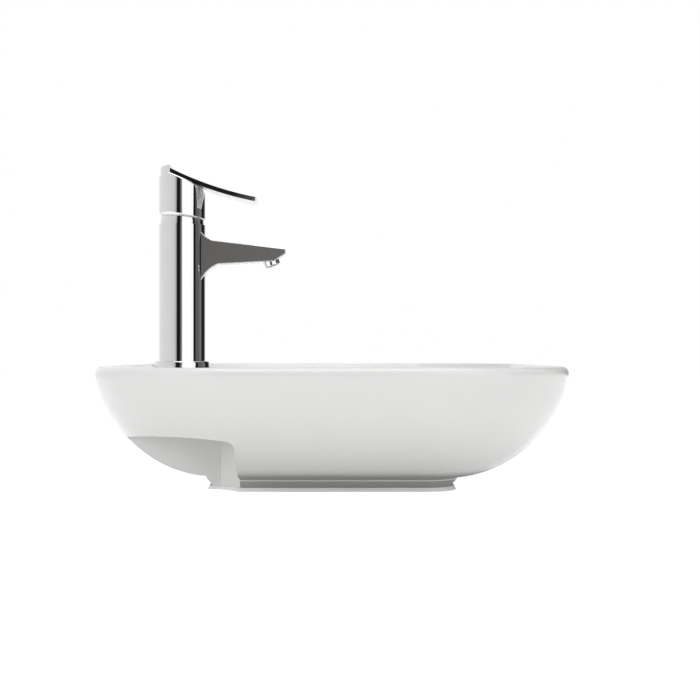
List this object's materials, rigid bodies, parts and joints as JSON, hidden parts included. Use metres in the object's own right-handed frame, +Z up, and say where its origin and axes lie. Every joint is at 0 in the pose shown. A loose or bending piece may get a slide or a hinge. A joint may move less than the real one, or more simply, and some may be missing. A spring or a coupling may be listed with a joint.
{
  "type": "countertop basin with mixer tap",
  "caption": "Rounded rectangular glazed ceramic countertop basin with a rear tap ledge, a chrome single-lever mixer with a tapering spout, and a waste closed by a liftable plug.",
  "frame": {"origin": "on the counter, under the middle of the foot", "axes": "+Z up, +X along the basin's width, the front at -Y and the tap ledge at +Y"},
  "size_m": [0.56, 0.4454, 0.3259],
  "materials": {
    "glaze": "white glaze",
    "strip": "pale sealing strip",
    "chrome": "polished",
    "brass": "turned",
    "steel": "plain",
    "rubber": "matt",
    "cartridge_plastic": "moulded",
    "aerator_plastic": "moulded",
    "disc_ceramic": "lapped",
    "marker": "moulded"
  },
  "bodies": {
    "basin": {"basin_body": "glaze", "foot_seal": "strip", "waste_body": "chrome", "waste_upper_seal": "rubber", "waste_lower_seal": "rubber", "waste_locknut": "brass", "plug_barrel": "brass", "tap_body": "chrome", "base_ring": "chrome", "base_gasket": "rubber", "mounting_stud": "brass", "hot_connector": "brass", "cold_connector": "brass", "riser_tubes": "brass", "horseshoe_gasket": "rubber", "horseshoe_washer": "steel", "mounting_nut": "brass", "cartridge_housing": "cartridge_plastic", "inlet_seals": "rubber", "fixed_disc": "disc_ceramic", "retaining_nut": "brass", "dome_cover": "chrome", "aerator_housing": "chrome", "aerator_insert": "aerator_plastic", "aerator_seal": "rubber"},
    "driver": {"cartridge_driver": "cartridge_plastic", "spindle_pin": "steel"},
    "lever": {"lever_handle": "chrome", "lever_spindle": "brass", "handle_screw": "steel", "index_plug": "marker"},
    "disc": {"moving_disc": "disc_ceramic"},
    "plug": {"plug_cap": "chrome", "plug_stem": "brass", "plug_seal": "rubber"}
  },
  "joints": [
    {"name": "lever_swivel", "type": "hinge", "parent": "basin", "child": "driver", "pos_m": [0, 0.1588, 0.267], "axis": [0, 0, 1], "range_deg": [-45, 45]},
    {"name": "lever_lift", "type": "hinge", "parent": "driver", "child": "lever", "pos_m": [0, 0.1588, 0.267], "axis": [-1, 0, 0], "range_deg": [0, 22]},
    {"name": "disc_slide", "type": "slide", "parent": "driver", "child": "disc", "axis": [0, -1, 0], "range_m": [0, 0.003]},
    {"name": "plug_slide", "type": "slide", "parent": "basin", "child": "plug", "axis": [0, 0, 1], "range_m": [0, 0.008]}
  ],
  "couplings": [
    {"joint": "disc_slide", "follows": "lever_lift", "m_per_rad": 0.0076}
  ]
}
